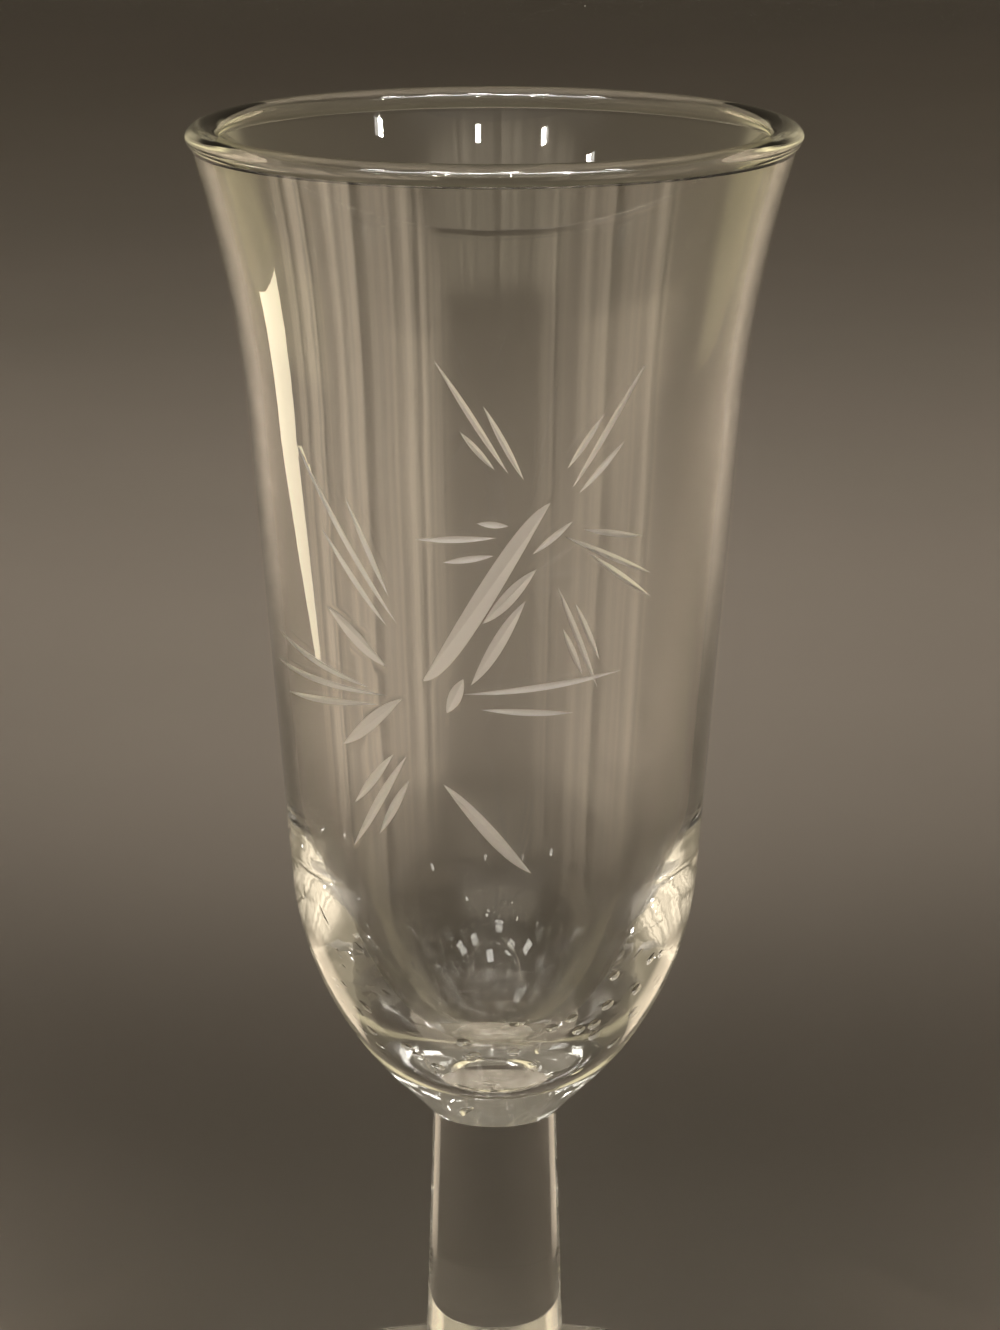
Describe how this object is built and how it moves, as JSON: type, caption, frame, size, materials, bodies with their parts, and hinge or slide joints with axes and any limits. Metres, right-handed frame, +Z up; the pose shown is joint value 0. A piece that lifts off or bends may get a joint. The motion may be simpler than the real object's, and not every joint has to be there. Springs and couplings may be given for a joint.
{
  "type": "cordial glass",
  "caption": "Stemmed cordial glass with a flared, beaded mouth, a thick-based bowl wheel-cut with needle stars, a short solid stem and a round foot.",
  "frame": {"origin": "middle of the plane that the foot rests on, on the glass's axis", "axes": "+Z up along the glass's axis, -Y towards the front with the cut stars, +X to the right seen from the front"},
  "size_m": [0.046, 0.046, 0.1049],
  "materials": {
    "clear_glass": "fire-polished, with ground wheel cuts"
  },
  "bodies": {
    "root": {"bowl": "clear_glass", "stem": "clear_glass", "foot": "clear_glass"}
  },
  "joints": []
}
